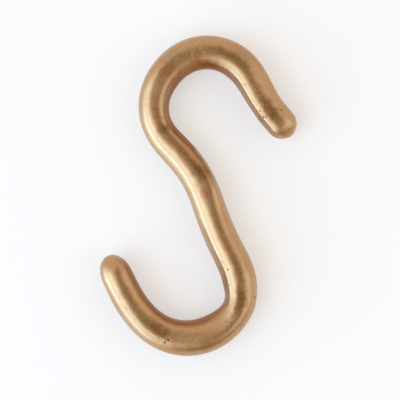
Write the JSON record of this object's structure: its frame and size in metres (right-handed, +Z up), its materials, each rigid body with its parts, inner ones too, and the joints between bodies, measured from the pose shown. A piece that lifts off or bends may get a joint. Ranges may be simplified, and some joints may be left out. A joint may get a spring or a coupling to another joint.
{
  "type": "s hook",
  "caption": "Solid cast S hook of round bar, bent in one plane into two open hooks that face opposite ways, for hanging things from a rail.",
  "frame": {"origin": "centre of the bounding box on the surface that the hook lies on, under the hook's flat side", "axes": "+Y along the line of the load, from the lower hook's saddle to the upper hook's; +X towards the upper hook's tip; +Z up, away from the surface that the hook lies on"},
  "size_m": [0.0446, 0.0802, 0.009],
  "materials": {
    "cast_brass": "satin, lightly tumbled casting with small pits and a dull brown tone in the hollows"
  },
  "bodies": {
    "root": {"hook": "cast_brass"}
  },
  "joints": []
}
